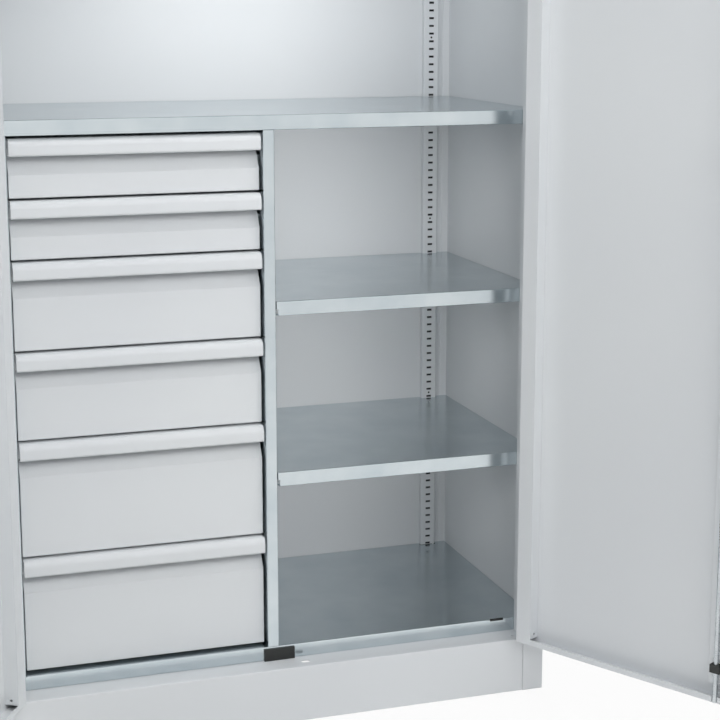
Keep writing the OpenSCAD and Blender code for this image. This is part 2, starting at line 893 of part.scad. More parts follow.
module left_door_channel() {
    color(paint) mirror([1, 0, 0]) opened() door_channel();
}

// Strip on the inside of the left door; its raised edge overlaps the right door with a gap
module left_door_strip() {
    y = front_y + door_t;
    z0 = door_z + strip_end;
    z1 = door_z + door_h - strip_end;
    color(paint) mirror([1, 0, 0]) opened() {
        block([door_x0, y, z0], [door_x0 + free_return - 2, y + strip_gap + sheet_t, z1]);
        block([-strip_w, y + strip_gap, z0], [door_x0, y + strip_gap + sheet_t, z1]);
    }
}

// Knuckle of a hinge with its bore, between two heights
module knuckle(z0, z1) {
    translate([pin_x, pin_y, z0]) cylinder(d = knuckle_d, h = z1 - z0);
}

module pin_bore() {
    translate([pin_x, pin_y, door_z]) cylinder(d = pin_d + 2 * pin_play, h = door_h);
}

// Frame leaf of one hinge at height z: two outer knuckles
module frame_leaf(z) {
    third = hinge_h / 3;
    difference() {
        union() {
            block([pin_x + knuckle_d / 2 + leaf_gap, front_y - leaf_t, z - hinge_h / 2],
                  [pin_x + leaf_w, front_y, z + hinge_h / 2]);
            for (z0 = [z - hinge_h / 2, z + hinge_h / 6]) {
                knuckle(z0, z0 + third);
                block([pin_x, front_y - leaf_t, z0],
                      [pin_x + knuckle_d / 2 + leaf_gap, front_y - 0.3, z0 + third]);
            }
        }
        pin_bore();
    }
}

// Door leaf of one hinge at height z: the middle knuckle, closed position
module door_leaf(z) {
    half = hinge_h / 6 - knuckle_gap;
    difference() {
        union() {
            block([pin_x - leaf_w, front_y - leaf_t, z - hinge_h / 2],
                  [pin_x - knuckle_d / 2 - leaf_gap, front_y, z + hinge_h / 2]);
            knuckle(z - half, z + half);
            block([pin_x - knuckle_d / 2 - leaf_gap, front_y - leaf_t, z - half],
                  [pin_x, front_y - 0.3, z + half]);
        }
        pin_bore();
    }
}

module frame_hinge_leaves() {
    color(paint) for (s = [0, 1], z = hinge_zs) mirror([s, 0, 0]) frame_leaf(z);
}

module right_hinge_leaves() {
    color(paint) opened() for (z = hinge_zs) door_leaf(z);
}

module left_hinge_leaves() {
    color(paint) mirror([1, 0, 0]) opened() for (z = hinge_zs) door_leaf(z);
}

module hinge_pins() {
    color(bright) for (s = [0, 1], z = hinge_zs) mirror([s, 0, 0]) {
        translate([pin_x, pin_y, z - hinge_h / 2]) cylinder(d = pin_d, h = hinge_h);
        translate([pin_x, pin_y, z + hinge_h / 2]) cylinder(d = knuckle_d, h = pin_head_t);
    }
}

// Bearing plate of the handle on the channel
module lock_plate() {
    y = front_y + channel_d;
    color(bright) opened() difference() {
        block([rod_x - plate_w / 2, y, handle_z - plate_h / 2],
              [rod_x + plate_w / 2, y + plate_t, handle_z + plate_h / 2]);
        translate([rod_x, y - cut, handle_z])
            rotate([-90, 0, 0])
                cylinder(d = spindle_d + 2 * spindle_play, h = plate_t + 2 * cut);
    }
}

// Escutcheon outside the door
module handle_plate() {
    y = front_y - lock_t;
    color(black) opened() difference() {
        union() {
            block([rod_x - lock_w / 2, y, handle_z - lock_low],
                  [rod_x + lock_w / 2, front_y, handle_z - lock_low + lock_h]);
            for (z = [handle_z - lock_low, handle_z - lock_low + lock_h])
                translate([rod_x, y, z]) rotate([-90, 0, 0]) cylinder(d = lock_w, h = lock_t);
        }
        translate([rod_x, y - cut, handle_z])
            rotate([-90, 0, 0]) cylinder(d = spindle_d + 2 * spindle_play, h = lock_t + 2 * cut);
        translate([rod_x, y - cut, handle_z + cylinder_rise])
            rotate([-90, 0, 0])
                cylinder(d = cylinder_d + 2 * cylinder_play, h = lock_t + 2 * cut);
    }
}

module lock_cylinder() {
    color(bright) opened()
        translate([rod_x, front_y - lock_t - 1, handle_z + cylinder_rise]) difference() {
            rotate([-90, 0, 0]) cylinder(d = cylinder_d, h = cylinder_l);
            block([-0.6, -cut, -4], [0.6, 3, 4]);
        }
}

// Lever with its hub and spindle; level when the lock is open
module door_handle() {
    color(black) opened() translate([rod_x, front_y - lock_t - hub_gap, handle_z]) {
        rotate([-90, 0, 0])
            cylinder(d = spindle_d, h = cam_y + cam_t - front_y + lock_t + hub_gap);
        rotate([90, 0, 0]) cylinder(d1 = hub_d, d2 = hub_d - 3, h = hub_l);
        intersection() {
            rotate([90, 0, 0]) linear_extrude(lever_out + lever_t) lever_front();
            translate([0, 0, -hub_d / 2]) linear_extrude(hub_d) lever_top();
        }
    }
}

// Lever seen from the front: tapered, with round ends
module lever_front() {
    tip_r = 8.5;
    circle(d = hub_d - 4);
    translate([lever_l - tip_r, 0]) circle(r = tip_r);
    polygon([
        [0, hub_d / 2 - 2],
        [lever_l - tip_r, tip_r],
        [lever_l - tip_r, -tip_r],
        [0, 2 - hub_d / 2]
    ]);
}

// Lever seen from above: it leaves the hub, bends out and runs level with a round tip
module lever_top() {
    y0 = -lever_out;
    y1 = -lever_out - lever_t;
    translate([lever_l - lever_t / 2, y0 - lever_t / 2]) circle(d = lever_t);
    polygon([
        [-hub_d / 2, 0],
        [hub_d / 2 - 3, 0],
        [hub_d / 2 + 6, y0],
        [lever_l - lever_t / 2, y0],
        [lever_l - lever_t / 2, y1],
        [8, y1],
        [-hub_d / 2, y1 + 8]
    ]);
}

// Cam disc with the two pins that drive the rods
module lock_cam() {
    color(bright) opened() translate([rod_x, cam_y, handle_z]) difference() {
        union() {
            rotate([-90, 0, 0]) cylinder(r = cam_r, h = cam_t);
            for (a = [135, 315]) rotate([0, a, 0]) translate([cam_pin_r, 0, 0])
                rotate([-90, 0, 0]) cylinder(d = cam_pin_d, h = cam_t + 0.4 + rod_plate_t + 1);
        }
        translate([0, -cut, 0])
            rotate([-90, 0, 0]) cylinder(d = spindle_d + 2 * spindle_play, h = cam_t + 2 * cut);
    }
}

// Upper rod at rest, drawn back into the door, from the spindle axis to its end
module rod_shape(reach) {
    half = rod_travel / 2;
    slot = cam_pin_d + 1.6;
    translate([0, front_y + rod_depth, cam_r + 4]) cylinder(d = rod_d, h = reach - cam_r - 4);
    translate([0, rod_plate_y, 0]) mirror([0, 1, 0]) rotate([90, 0, 0])
        linear_extrude(rod_plate_t) difference() {
            polygon([
                [-cam_r - 1, -half - 7],
                [-4, -half - 7],
                [-4, cam_r + 4],
                [4, cam_r + 4],
                [4, cam_r + 14],
                [-9, cam_r + 14],
                [-cam_r - 1, cam_r + 4]
            ]);
            translate([-cam_pin_r, -half]) circle(d = slot);
            translate([-half, -half]) circle(d = slot);
            translate([-cam_pin_r, -half - slot / 2]) square([cam_pin_r - half, slot]);
        }
}

module lock_rod_upper() {
    color(bright) opened() translate([rod_x, 0, handle_z])
        rod_shape(door_z + door_h - 1 - handle_z);
}

// The lower rod is the upper one turned about the spindle, with its own length
module lock_rod_lower() {
    color(bright) opened() translate([rod_x, 0, handle_z])
        mirror([1, 0, 0]) mirror([0, 0, 1]) rod_shape(handle_z - door_z - 1);
}

// Guides on the channel, two for each rod
module rod_guides() {
    y0 = front_y + channel_d;
    y1 = front_y + rod_depth + rod_d / 2 + guide_wall;
    zs = [door_z + guide_end, handle_z - guide_handle,
          handle_z + guide_handle, door_z + door_h - guide_end];
    color(black) opened() for (z = zs)
        difference() {
            block([rod_x - guide_w / 2, y0, z - guide_h / 2], [rod_x + guide_w / 2, y1, z + guide_h / 2]);
            translate([rod_x, front_y + rod_depth, z - guide_h / 2 - cut])
                cylinder(d = rod_d + 2 * rod_play, h = guide_h + 2 * cut);
        }
}

side_panel_left();
side_panel_right();
back_panel();
top_panel();
plinth();
base_rails();
foot_plates();
floor_shelf();
mid_shelf();
partition();
shelf_right_lower();
shelf_right_upper();
shelf_top_lower();
shelf_top_upper();
rear_uprights();
shelf_clips();
drawer_wall();
runner_fixed_rails();
door_buffer();
frame_hinge_leaves();
hinge_pins();
right_door_panel();
right_door_channel();
right_hinge_leaves();
lock_plate();
handle_plate();
rod_guides();
door_handle();
lock_cam();
lock_cylinder();
lock_rod_upper();
lock_rod_lower();
left_door_panel();
left_door_channel();
left_hinge_leaves();
left_door_strip();
drawer_front(0);  // drawer_1_front
drawer_front(1);  // drawer_2_front
drawer_front(2);  // drawer_3_front
drawer_front(3);  // drawer_4_front
drawer_front(4);  // drawer_5_front
drawer_front(5);  // drawer_6_front
drawer_tray(0);  // drawer_1_tray
drawer_tray(1);  // drawer_2_tray
drawer_tray(2);  // drawer_3_tray
drawer_tray(3);  // drawer_4_tray
drawer_tray(4);  // drawer_5_tray
drawer_tray(5);  // drawer_6_tray
drawer_rails(0);  // drawer_1_rails
drawer_rails(1);  // drawer_2_rails
drawer_rails(2);  // drawer_3_rails
drawer_rails(3);  // drawer_4_rails
drawer_rails(4);  // drawer_5_rails
drawer_rails(5);  // drawer_6_rails
runner_middle(0);  // runner_1_middle
runner_middle(1);  // runner_2_middle
runner_middle(2);  // runner_3_middle
runner_middle(3);  // runner_4_middle
runner_middle(4);  // runner_5_middle
runner_middle(5);  // runner_6_middle
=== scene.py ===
"""Looks of a heavy-duty storage cabinet: powder-coated steel body and doors, zinc-plated
shelves, drawers with rolled handle lips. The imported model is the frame; this script gives its
nodes their finishes, adds the small trim, and sets the floor, the light and the camera."""

import json
import math

import bmesh
import bpy
import numpy as np
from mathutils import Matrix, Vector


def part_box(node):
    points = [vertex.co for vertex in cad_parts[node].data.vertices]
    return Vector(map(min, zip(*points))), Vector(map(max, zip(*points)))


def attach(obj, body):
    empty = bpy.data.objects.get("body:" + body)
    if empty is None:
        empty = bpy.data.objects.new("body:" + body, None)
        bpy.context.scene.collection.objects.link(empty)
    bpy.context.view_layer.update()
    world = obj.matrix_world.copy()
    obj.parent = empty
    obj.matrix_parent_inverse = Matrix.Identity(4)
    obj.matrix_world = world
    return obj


MM = 0.001
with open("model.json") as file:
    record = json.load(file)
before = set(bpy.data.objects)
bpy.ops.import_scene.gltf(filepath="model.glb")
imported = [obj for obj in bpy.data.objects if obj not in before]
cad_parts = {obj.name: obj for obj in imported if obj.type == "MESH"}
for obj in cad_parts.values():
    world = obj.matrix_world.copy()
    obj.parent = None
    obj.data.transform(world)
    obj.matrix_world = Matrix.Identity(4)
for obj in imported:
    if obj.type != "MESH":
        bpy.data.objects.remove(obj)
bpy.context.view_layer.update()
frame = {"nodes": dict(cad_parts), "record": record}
scene = bpy.context.scene


# Colours and nodes


def linear(hex_colour):
    """sRGB hex to linear RGB: the standard curve, on each channel divided by 255."""
    channels = [int(hex_colour[i : i + 2], 16) / 255 for i in (1, 3, 5)]
    return [c / 12.92 if c <= 0.04045 else ((c + 0.055) / 1.055) ** 2.4 for c in channels] + [1.0]


def add(tree, kind, links=None, **settings):
    """Adds one node. Settings name a property or an input; links join inputs to outputs."""
    node = tree.nodes.new(kind)
    for name, value in settings.items():
        if hasattr(node, name):
            setattr(node, name, value)
        else:
            node.inputs[name.replace("_", " ")].default_value = value
    for name, output in (links or {}).items():
        tree.links.new(output, node.inputs[name])
    return node


def new_material(name, **shader):
    """A material with one principled shader. Its plain values come in as settings, and a
    pattern that is linked later takes their place."""
    material = bpy.data.materials.new(name)
    material.use_nodes = True
    tree = material.node_tree
    tree.nodes.clear()
    surface = tree.nodes.new("ShaderNodeBsdfPrincipled")
    output = tree.nodes.new("ShaderNodeOutputMaterial")
    tree.links.new(surface.outputs["BSDF"], output.inputs["Surface"])
    for socket, value in shader.items():
        surface.inputs[socket.replace("_", " ")].default_value = value
    return material, tree, surface


def object_space(tree, scale=(1, 1, 1)):
    """Object coordinates, stretched by scale, so that a pattern is sized in metres."""
    coordinates = add(tree, "ShaderNodeTexCoord")
    mapping = add(tree, "ShaderNodeMapping", {"Vector": coordinates.outputs["Object"]})
    mapping.inputs["Scale"].default_value = scale
    return mapping.outputs["Vector"]


def noise(tree, vector, size_mm, detail=2.0, rough=0.5):
    """Noise whose lumps are about size_mm across."""
    return add(
        tree,
        "ShaderNodeTexNoise",
        {"Vector": vector},
        Scale=1 / (size_mm * MM),
        Detail=detail,
        Roughness=rough,
    ).outputs["Fac"]


NOISE_LOW, NOISE_HIGH = 0.3, 0.7


def spread(tree, value, low, high):
    """Maps the range in which most noise lies onto low to high."""
    return add(
        tree,
        "ShaderNodeMapRange",
        {"Value": value},
        From_Min=NOISE_LOW,
        From_Max=NOISE_HIGH,
        To_Min=low,
        To_Max=high,
    ).outputs["Result"]


def between(tree, factor, colour_a, colour_b):
    """A mix of two hex colours by a factor."""
    mix = add(tree, "ShaderNodeMix", data_type="RGBA")
    mix.inputs[6].default_value = linear(colour_a)
    mix.inputs[7].default_value = linear(colour_b)
    tree.links.new(factor, mix.inputs["Factor"])
    return mix.outputs[2]


def soft_edges(tree, surface, radius_mm, height=None, depth_mm=0.0):
    """Rounds the look of every sheet edge to a bend radius, and adds a height pattern on it."""
    rounded = add(tree, "ShaderNodeBevel", samples=4, Radius=radius_mm * MM)
    normal = rounded.outputs["Normal"]
    if height is not None:
        links = {"Height": height, "Normal": normal}
        normal = add(tree, "ShaderNodeBump", links, Distance=depth_mm * MM).outputs["Normal"]
    tree.links.new(normal, surface.inputs["Normal"])


# Finishes: the colours as written, in sRGB. Where there are two, a slow noise mixes them.

PAINT_LIGHT = "#dfe2e4"
PAINT_DARK = "#dbdee1"
ZINC_LIGHT = "#d2dadd"
ZINC_DARK = "#c4ced3"
BRIGHT_LIGHT = "#cbd0d3"
BRIGHT_DARK = "#b9bfc3"
ABS_LIGHT = "#222423"
ABS_DARK = "#1c1e1d"
# Painted shade: the dark colour of the faces inside the hollow uprights
HOLLOW_SHADE = "#35383a"
NICKEL = "#c9c6bf"
PAPER = "#f2f2f1"
PAPER_GLOW = 0.9
ROOM = "#f4f6f8"
WHITE = "#ffffff"

# The space inside the rear uprights that gets painted shade, in metres: distance from the middle
# plane, and y
HOLLOW_X = (0.4423, 0.4717)
HOLLOW_Y = (0.2378, 0.2492)


def shade_in_uprights(tree):
    """Where painted shade goes: one on the faces that look into the hollow uprights,
    nought on all others.
    """
    axes = add(tree, "ShaderNodeSeparateXYZ", {0: object_space(tree)})
    across = add(tree, "ShaderNodeMath", {0: axes.outputs["X"]}, operation="ABSOLUTE").outputs[0]
    mask = None
    for value, (low, high) in ((across, HOLLOW_X), (axes.outputs["Y"], HOLLOW_Y)):
        for operation, limit in (("GREATER_THAN", low), ("LESS_THAN", high)):
            test = add(tree, "ShaderNodeMath", {0: value}, operation=operation)
            test.inputs[1].default_value = limit
            if mask is None:
                mask = test.outputs[0]
            else:
                links = {0: mask, 1: test.outputs[0]}
                mask = add(tree, "ShaderNodeMath", links, operation="MULTIPLY").outputs[0]
    return mask


def powder_coat(name, edge_mm, shade_mask=None):
    """Polyester powder coat, sprayed and baked: satin, with a fine orange peel of 1.5 mm
    lumps that breaks the highlight, and a faint drift of tone over the large panels. Where a
    shade mask is given, the faces inside folded hollows get a dark colour as painted shade,
    so that slots look into a dark hollow. It is partly the phosphated steel that the powder
    doesn't reach there, and mostly painted shade."""
    material, tree, surface = new_material(name, Roughness=0.42, IOR=1.5, Specular_IOR_Level=0.45)
    place = object_space(tree)
    drift = spread(tree, noise(tree, place, 400, 1.0), 0.0, 1.0)
    colour = between(tree, drift, PAINT_LIGHT, PAINT_DARK)
    if shade_mask is not None:
        # Painted shade: a dark colour on the faces that the mask picks out inside the hollows
        with_shade = add(tree, "ShaderNodeMix", {"Factor": shade_mask(tree)}, data_type="RGBA")
        with_shade.inputs[7].default_value = linear(HOLLOW_SHADE)
        tree.links.new(colour, with_shade.inputs[6])
        colour = with_shade.outputs[2]
    tree.links.new(colour, surface.inputs["Base Color"])
    peel = noise(tree, place, 1.5, 2.0, 0.45)
    sheen = spread(tree, noise(tree, place, 60, 2.0), 0.38, 0.46)
    tree.links.new(sheen, surface.inputs["Roughness"])
    soft_edges(tree, surface, edge_mm, peel, 0.012)
    return material


def zinc_sheet():
    """Electro-galvanised cold-rolled sheet: a clear bluish mirror, blurred a little, with the
    faint lengthwise streaks of rolling and cloudy patches where the bath took unevenly."""
    material, tree, surface = new_material("zinc_plated_sheet", Metallic=1.0, Roughness=0.2)
    place = object_space(tree)
    cloud = spread(tree, noise(tree, place, 90, 3.0, 0.6), 0.0, 1.0)
    tree.links.new(between(tree, cloud, ZINC_LIGHT, ZINC_DARK), surface.inputs["Base Color"])
    rolled = object_space(tree, (0.02, 1.0, 1.0))
    streak = noise(tree, rolled, 2.5, 3.0, 0.6)
    tree.links.new(spread(tree, streak, 0.17, 0.25), surface.inputs["Roughness"])
    soft_edges(tree, surface, 1.0, streak, 0.006)
    return material


def bright_zinc():
    """Bright zinc plating on rolled profiles and small steel: a brisk sheen with fine lines
    along the runner."""
    material, tree, surface = new_material("bright_zinc_plating", Metallic=1.0, Roughness=0.28)
    place = object_space(tree)
    cloud = spread(tree, noise(tree, place, 25, 2.0), 0.0, 1.0)
    tree.links.new(between(tree, cloud, BRIGHT_LIGHT, BRIGHT_DARK), surface.inputs["Base Color"])
    drawn = object_space(tree, (1.0, 0.03, 1.0))
    line = noise(tree, drawn, 1.2, 2.0)
    tree.links.new(spread(tree, line, 0.22, 0.34), surface.inputs["Roughness"])
    soft_edges(tree, surface, 0.5, line, 0.004)
    return material


def moulded_abs():
    """Black ABS from a sparked mould: dull, with a fine even grain of 0.8 mm."""
    material, tree, surface = new_material("black_moulded_abs", Roughness=0.5, IOR=1.53)
    place = object_space(tree)
    cloud = spread(tree, noise(tree, place, 15, 2.0), 0.0, 1.0)
    tree.links.new(between(tree, cloud, ABS_LIGHT, ABS_DARK), surface.inputs["Base Color"])
    grain = noise(tree, place, 0.8, 2.0)
    tree.links.new(spread(tree, grain, 0.44, 0.58), surface.inputs["Roughness"])
    soft_edges(tree, surface, 0.8, grain, 0.02)
    return material


def nickel_plate():
    """Nickel-plated brass of the lock cylinder: a warm mirror with fine turned rings."""
    material, tree, surface = new_material("nickel_plated_brass", Metallic=1.0, Roughness=0.16)
    place = object_space(tree)
    ring = noise(tree, place, 0.7, 2.0)
    tree.links.new(between(tree, ring, NICKEL, BRIGHT_LIGHT), surface.inputs["Base Color"])
    tree.links.new(spread(tree, ring, 0.12, 0.22), surface.inputs["Roughness"])
    soft_edges(tree, surface, 0.3)
    return material


def seen_plainly(tree):
    """One for camera, glossy and transmission rays, nought for the light that a surface gets."""
    path = add(tree, "ShaderNodeLightPath")
    mirrored = add(
        tree,
        "ShaderNodeMath",
        {0: path.outputs["Is Glossy Ray"], 1: path.outputs["Is Transmission Ray"]},
        operation="MAXIMUM",
    )
    return add(
        tree,
        "ShaderNodeMath",
        {0: path.outputs["Is Camera Ray"], 1: mirrored.outputs[0]},
        operation="MAXIMUM",
    ).outputs[0]


def studio_floor():
    """Matt white paper roll: nearly white to the eye, while it keeps the cabinet's shadow."""
    material, tree, surface = new_material("white_paper_floor", Roughness=0.9)
    surface.inputs["Base Color"].default_value = linear(PAPER)
    glow = add(tree, "ShaderNodeEmission", Color=linear(WHITE), Strength=1.0)
    share = add(tree, "ShaderNodeMath", {0: seen_plainly(tree)}, operation="MULTIPLY")
    share.inputs[1].default_value = PAPER_GLOW
    mixed = add(
        tree,
        "ShaderNodeMixShader",
        {0: share.outputs[0], 1: surface.outputs[0], 2: glow.outputs[0]},
    )
    tree.links.new(mixed.outputs[0], tree.nodes["Material Output"].inputs["Surface"])
    return material


FINISHES = {
    "grey_paint": powder_coat("light_grey_powder_coat", 1.2),
    "zinc_sheet": zinc_sheet(),
    "bright_zinc": bright_zinc(),
    "black_plastic": moulded_abs(),
    "chrome": nickel_plate(),
}

slot_of = {part["node"]: part["material_slot"] for part in frame["record"]["subparts"]}
for node_name, node_object in frame["nodes"].items():
    finish = FINISHES[slot_of[node_name]]
    if not node_object.material_slots:
        node_object.data.materials.append(finish)
    for material_slot in node_object.material_slots:
        material_slot.material = finish

# The rows of slots are punched, so their edges stay sharp, and the hollow behind them gets painted
# shade
shaded_hollow_coat = powder_coat("powder_coat_with_painted_hollow_shade", 0.3, shade_in_uprights)
for node_name in ("rear_uprights", "back_panel"):
    for material_slot in frame["nodes"][node_name].material_slots:
        material_slot.material = shaded_hollow_coat


# Small trim, worked out in the frame's axes


def close_seams(mesh):
    """Joins the points that coincide along seams and at poles, and turns all faces outwards."""
    work = bmesh.new()
    work.from_mesh(mesh)
    bmesh.ops.remove_doubles(work, verts=work.verts, dist=1e-7)
    bmesh.ops.recalc_face_normals(work, faces=work.faces)
    work.to_mesh(mesh)
    work.free()


def grid_object(name, points, material, smooth=True):
    """One mesh from equal grids of points, grids by rows by columns by xyz: the face of a cell
    joins the points (i, j), (i, j + 1), (i + 1, j + 1), (i + 1, j) of its grid."""
    grids, rows, columns, _ = points.shape
    index = np.arange(grids * rows * columns).reshape(grids, rows, columns)
    faces = np.stack(
        [index[:, :-1, :-1], index[:, :-1, 1:], index[:, 1:, 1:], index[:, 1:, :-1]], axis=-1
    ).reshape(-1, 4)
    mesh = bpy.data.meshes.new(name)
    mesh.from_pydata(points.reshape(-1, 3).tolist(), [], faces.tolist())
    close_seams(mesh)
    mesh.polygons.foreach_set("use_smooth", np.full(len(mesh.polygons), smooth))
    mesh.materials.append(material)
    made = bpy.data.objects.new(name, mesh)
    scene.collection.objects.link(made)
    return made


def trim(name, points, slot, body, smooth=True):
    """A grid object with the finish of a slot, riding on a body."""
    piece = grid_object(name, points, FINISHES[slot], smooth)
    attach(piece, body)
    return piece


PIN_X = 0.46
PIN_Y = -0.2543
DOOR_OPEN = math.radians(120)


def opened(points):
    """Carries points of the closed right door to the standing-open one. In plan, each point
    turns about the hinge pin: p -> pin + R(120 degrees) (p - pin)."""
    dx, dy = points[..., 0] - PIN_X, points[..., 1] - PIN_Y
    cosine, sine = math.cos(DOOR_OPEN), math.sin(DOOR_OPEN)
    return np.stack(
        [PIN_X + cosine * dx - sine * dy, PIN_Y + sine * dx + cosine * dy, points[..., 2]], axis=-1
    )


def mirrored(points):
    """The same points on the other side of the plane x = 0."""
    return points * np.array([-1.0, 1.0, 1.0])


def turned(centres, across, up, profile, steps=24):
    """Equal turned pieces. A profile point (r, h) goes round each centre c as
    c + r (cos a across + sin a side) + h up, with a from 0 to 360 degrees and
    side = up x across."""
    across, up = np.array(across, float), np.array(up, float)
    angle = np.linspace(0, 2 * math.pi, steps + 1)
    circle = np.cos(angle)[:, None] * across + np.sin(angle)[:, None] * np.cross(up, across)
    radius, height = np.array(profile, float).T
    shape = radius[:, None, None] * circle + height[:, None, None] * up
    return np.array(centres, float)[:, None, None, :] + shape[None]


def dome(radius, height, rings=7):
    """Profile of a round rivet head on its base: h = height cos a at r = radius sin a."""
    a = np.linspace(math.pi / 2, 0, rings)
    head = np.stack([radius * np.sin(a), height * np.cos(a)], axis=-1)
    return np.concatenate([[(0, 0)], head])


def pan_head(radius, height, socket):
    """Profile of a screw head with a rounded rim and a round socket in its middle."""
    a = np.linspace(0, math.pi / 2, 5)
    rim = 0.35 * radius
    edge = np.stack([radius - rim + rim * np.cos(a), height - rim + rim * np.sin(a)], axis=-1)
    inside = [(socket, height), (socket * 0.96, height * 0.35), (0, height * 0.25)]
    return np.concatenate([[(0, 0), (radius, 0)], edge, inside])


def beads(starts, out_a, out_b, length, radius, ripple=0.0018):
    """Fillet welds that run upwards in the corner between two directions. A point s along and
    t round is start + s z + w (cos t out_a + sin t out_b), where
    w = radius (1 + 0.1 cos(2 pi s / ripple)) (1 - (2 s / length - 1)^8)^0.5, and the corner
    itself closes the section."""
    s = np.linspace(0, length, int(length / ripple * 8) + 1)[:, None, None]
    t = np.linspace(0, math.pi / 2, 7)[None, :, None]
    width = radius * (1 + 0.1 * np.cos(2 * math.pi * s / ripple))
    width = width * np.sqrt(np.clip(1 - (2 * s / length - 1) ** 8, 0, 1))
    shape = width * (np.cos(t) * np.array(out_a, float) + np.sin(t) * np.array(out_b, float))
    shape = np.pad(shape, ((0, 0), (1, 1), (0, 0))) + s * np.array([0.0, 0.0, 1.0])
    return np.array(starts, float)[:, None, None, :] + shape[None]


def rim_hem(low, high, radius, out, turns=12):
    """Rolled hem along the sides and back of a tray. The centre line runs front left, back
    left, back right, front right, offset outwards with mitred corners; a point of the hem is
    the corner moved out by out + radius cos a and up by radius (sin a - 1). The radius is
    nought at both ends, which closes them."""
    a = np.linspace(0, 2 * math.pi, turns + 1)[:, None]
    reach = radius * np.array([0, 1, 1, 1, 1, 0])
    front = low[1] + 2 * radius
    corner_x = np.array([low[0], low[0], low[0], high[0], high[0], high[0]])
    corner_y = np.array([front, front, high[1], high[1], front, front])
    x = corner_x + (out + reach * np.cos(a)) * np.array([-1, -1, -1, 1, 1, 1])
    y = corner_y + (out + reach * np.cos(a)) * np.array([0, 0, 1, 1, 0, 0])
    z = high[2] - radius + reach * np.sin(a)
    return np.stack([x, y, z], axis=-1)[None]


def bar(section, x0, x1):
    """A straight bar along x: the closed section of (y, z) points at both ends, and each end
    drawn together to the middle of the section."""
    section = np.array(section, float)
    middle = np.broadcast_to(section[:-1].mean(axis=0), section.shape)
    rings = np.stack([middle, section, section, middle])
    x = np.array([x0, x0, x1, x1])[:, None] * np.ones(len(section))
    return np.concatenate([x[..., None], rings], axis=-1)[None]


# Hinge leaves: three stitches of weld along the free edge of every leaf

ROD_X = 0.054
LEAF_W = 0.026
LEAF_HALF_H = 0.036
FRONT_Y = -0.25
STITCH_L = 0.016
STITCH_STEP = 0.026
WELD_R = 0.0018
leaf_low, leaf_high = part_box("right_hinge_leaves")
hinge_zs = np.array(
    [leaf_low[2] + LEAF_HALF_H, (leaf_low[2] + leaf_high[2]) / 2, leaf_high[2] - LEAF_HALF_H]
)
stitch_zs = (hinge_zs[:, None] + STITCH_STEP * np.array([-1, 0, 1]) - STITCH_L / 2).ravel()
frame_starts = np.array([[PIN_X + LEAF_W, FRONT_Y, z] for z in stitch_zs])
door_starts = np.array([[PIN_X - LEAF_W, FRONT_Y, z] for z in stitch_zs])
frame_welds = beads(frame_starts, (0, -1, 0), (1, 0, 0), STITCH_L, WELD_R)
door_welds = opened(beads(door_starts, (-1, 0, 0), (0, -1, 0), STITCH_L, WELD_R))
both_sides = np.concatenate([frame_welds, mirrored(frame_welds)])
trim("frame_hinge_welds", both_sides, "grey_paint", "cabinet")
trim("right_hinge_welds", door_welds, "grey_paint", "right_door")
trim("left_hinge_welds", mirrored(door_welds), "grey_paint", "left_door")

# Door channels: spot welds along both feet of each channel

CHANNEL_HALF = 0.021
FOOT_TOP = FRONT_Y + 0.003
SPOT_STEP = 0.09
SPOT_FIRST, SPOT_LAST = 0.03, 0.02
SPOT_PROFILE = [
    (0, 0), (0.0026, 0), (0.0024, 0.00012), (0.0019, 0.00016), (0.0014, 0.00005), (0, 0.00002),
]
channel_low, channel_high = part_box("right_door_channel")
spot_zs = np.arange(channel_low[2] + SPOT_FIRST, channel_high[2] - SPOT_LAST, SPOT_STEP)
spot_places = [(ROD_X + x, FOOT_TOP, z) for z in spot_zs for x in (-CHANNEL_HALF, CHANNEL_HALF)]
spots = opened(turned(spot_places, (1, 0, 0), (0, 1, 0), SPOT_PROFILE, 18))
trim("right_channel_spot_welds", spots, "grey_paint", "right_door")
trim("left_channel_spot_welds", mirrored(spots), "grey_paint", "left_door")

# Drawers: hems on the trays, rivets that hold the inner runner members

TRAY_T = 0.0012
HEM_R = 0.0016
RIVET_YS = (0.035, 0.2, 0.365)
RIVET = dome(0.0045, 0.0013)
for number in range(1, 7):
    tray_low, tray_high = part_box(f"drawer_{number}_tray")
    hem = rim_hem(tray_low, tray_high, HEM_R, HEM_R - TRAY_T)
    trim(f"drawer_{number}_hem", hem, "grey_paint", f"drawer_{number}")
    rail_low, rail_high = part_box(f"drawer_{number}_rails")
    rail_z = (rail_low[2] + rail_high[2]) / 2
    rivets = np.concatenate([
        turned(
            [(wall_x + out * TRAY_T, rail_low[1] + y, rail_z) for y in RIVET_YS],
            (0, 1, 0), (out, 0, 0), RIVET,
        )
        for wall_x, out in ((tray_low[0], -1), (tray_high[0], 1))
    ])
    trim(f"drawer_{number}_rivets", rivets, "bright_zinc", f"drawer_{number}")

# Floor shelf: a black piece that fills the punched slot in its front bend, as painted shade that
# makes the slot look dark

SHADE_PIECE_X0, SHADE_PIECE_X1 = 0.4137, 0.4393
SHADE_PIECE_DEPTH = 0.0034
SHADE_PIECE_SINK = 0.0001
SHELF_BEND_R = 0.002
shelf_low, shelf_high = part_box("floor_shelf")
turn = np.linspace(0, math.pi / 2, 6)
shade_bend_r = SHELF_BEND_R - SHADE_PIECE_SINK
bend_y = shelf_low[1] + SHELF_BEND_R - shade_bend_r * np.sin(turn)
bend_z = shelf_high[2] - SHELF_BEND_R + shade_bend_r * np.cos(turn)
back_y, under_z = shelf_low[1] + SHADE_PIECE_DEPTH, shelf_high[2] - SHADE_PIECE_DEPTH
shade_y = np.concatenate([[back_y], bend_y, [bend_y[-1], back_y, back_y]])
shade_z = np.concatenate([[bend_z[0]], bend_z, [under_z, under_z, bend_z[0]]])
